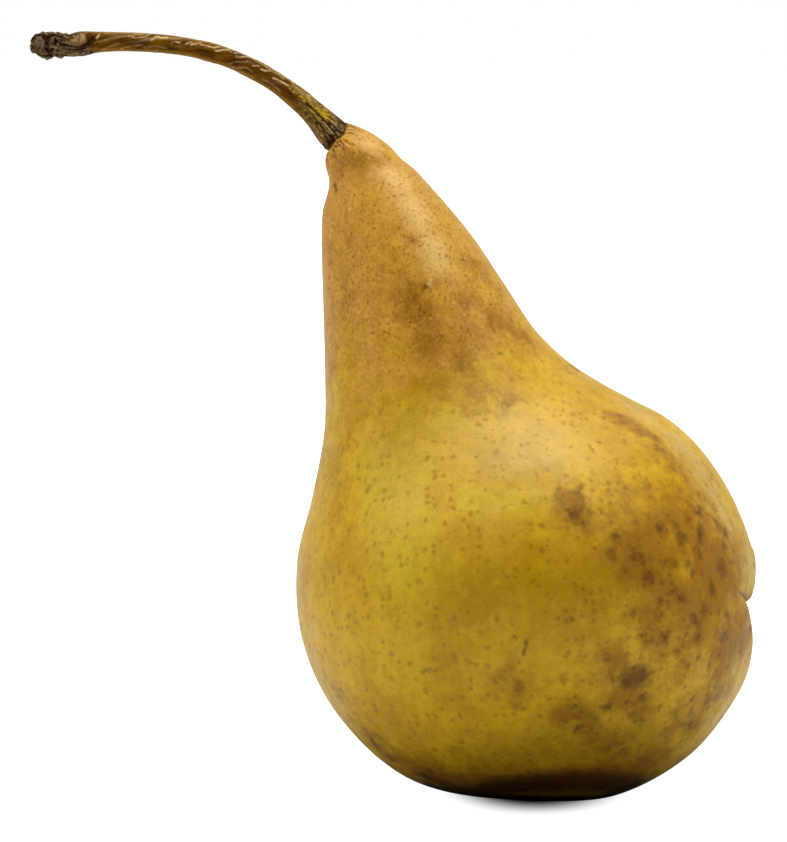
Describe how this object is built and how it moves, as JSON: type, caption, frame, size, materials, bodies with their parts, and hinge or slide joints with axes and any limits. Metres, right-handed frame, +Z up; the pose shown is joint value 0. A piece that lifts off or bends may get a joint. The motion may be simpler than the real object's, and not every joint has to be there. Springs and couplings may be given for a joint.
{
  "type": "pear",
  "caption": "Whole ripe pear with a round belly, a leaning neck and a long curved stem, resting on a small flat spot.",
  "frame": {"origin": "middle of the small flat spot that the fruit rests on", "axes": "+Z up; the pear bends in the XZ plane, with the stem towards -X and the calyx towards +X; +Y across that plane"},
  "size_m": [0.1082, 0.0676, 0.1141],
  "materials": {
    "fruit": "ochre-yellow skin with brown speckles, soft sheen",
    "stem": "dry brown stalk with a grey bark knob",
    "calyx": "dried dark sepals"
  },
  "bodies": {
    "root": {"fruit": "fruit", "stem": "stem", "calyx": "calyx"}
  },
  "joints": []
}
